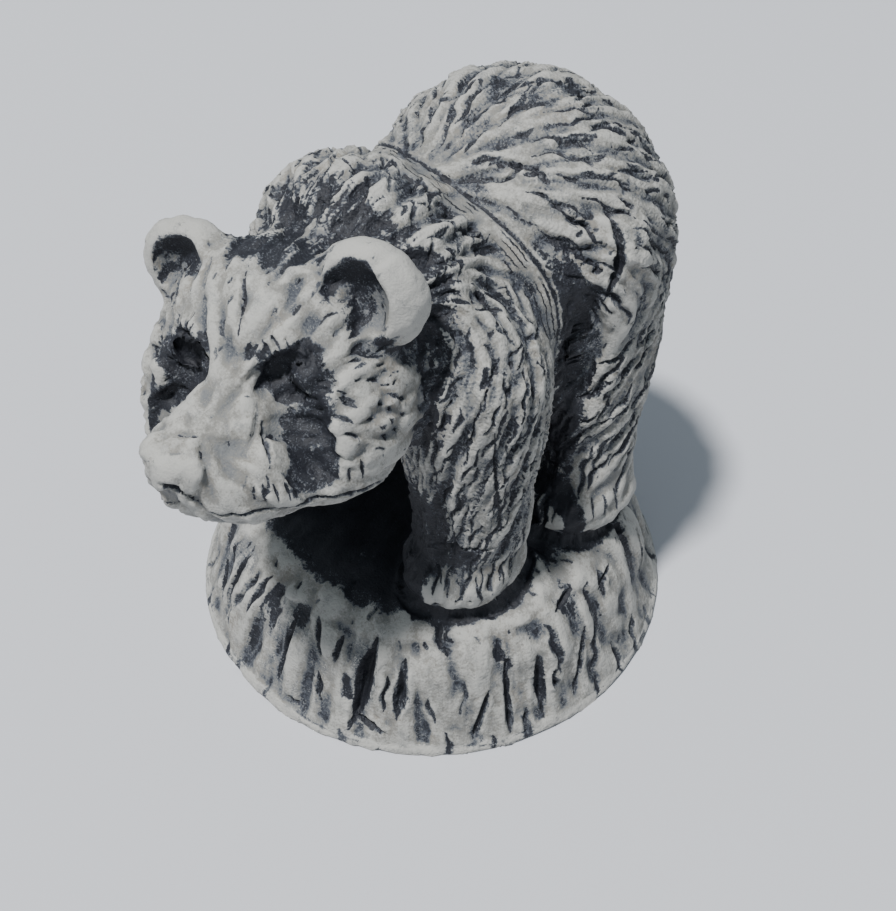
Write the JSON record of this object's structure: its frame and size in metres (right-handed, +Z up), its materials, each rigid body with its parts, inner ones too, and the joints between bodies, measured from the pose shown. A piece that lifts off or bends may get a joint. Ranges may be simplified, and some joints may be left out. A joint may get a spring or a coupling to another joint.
{
  "type": "bear figurine",
  "caption": "Small cast-stone bear standing on a round rocky mound, head turned to its left, with carved fur and a dark wash in the hollows.",
  "frame": {"origin": "centre of the flat underside of the mound", "axes": "+Z up, -Y the way the bear's body faces, +X the bear's left"},
  "size_m": [0.0555, 0.0639, 0.061],
  "materials": {
    "cast_stone": "matt cast stone with a blue-black wash left in the hollows"
  },
  "bodies": {
    "root": {"bear_casting": "cast_stone"}
  },
  "joints": []
}
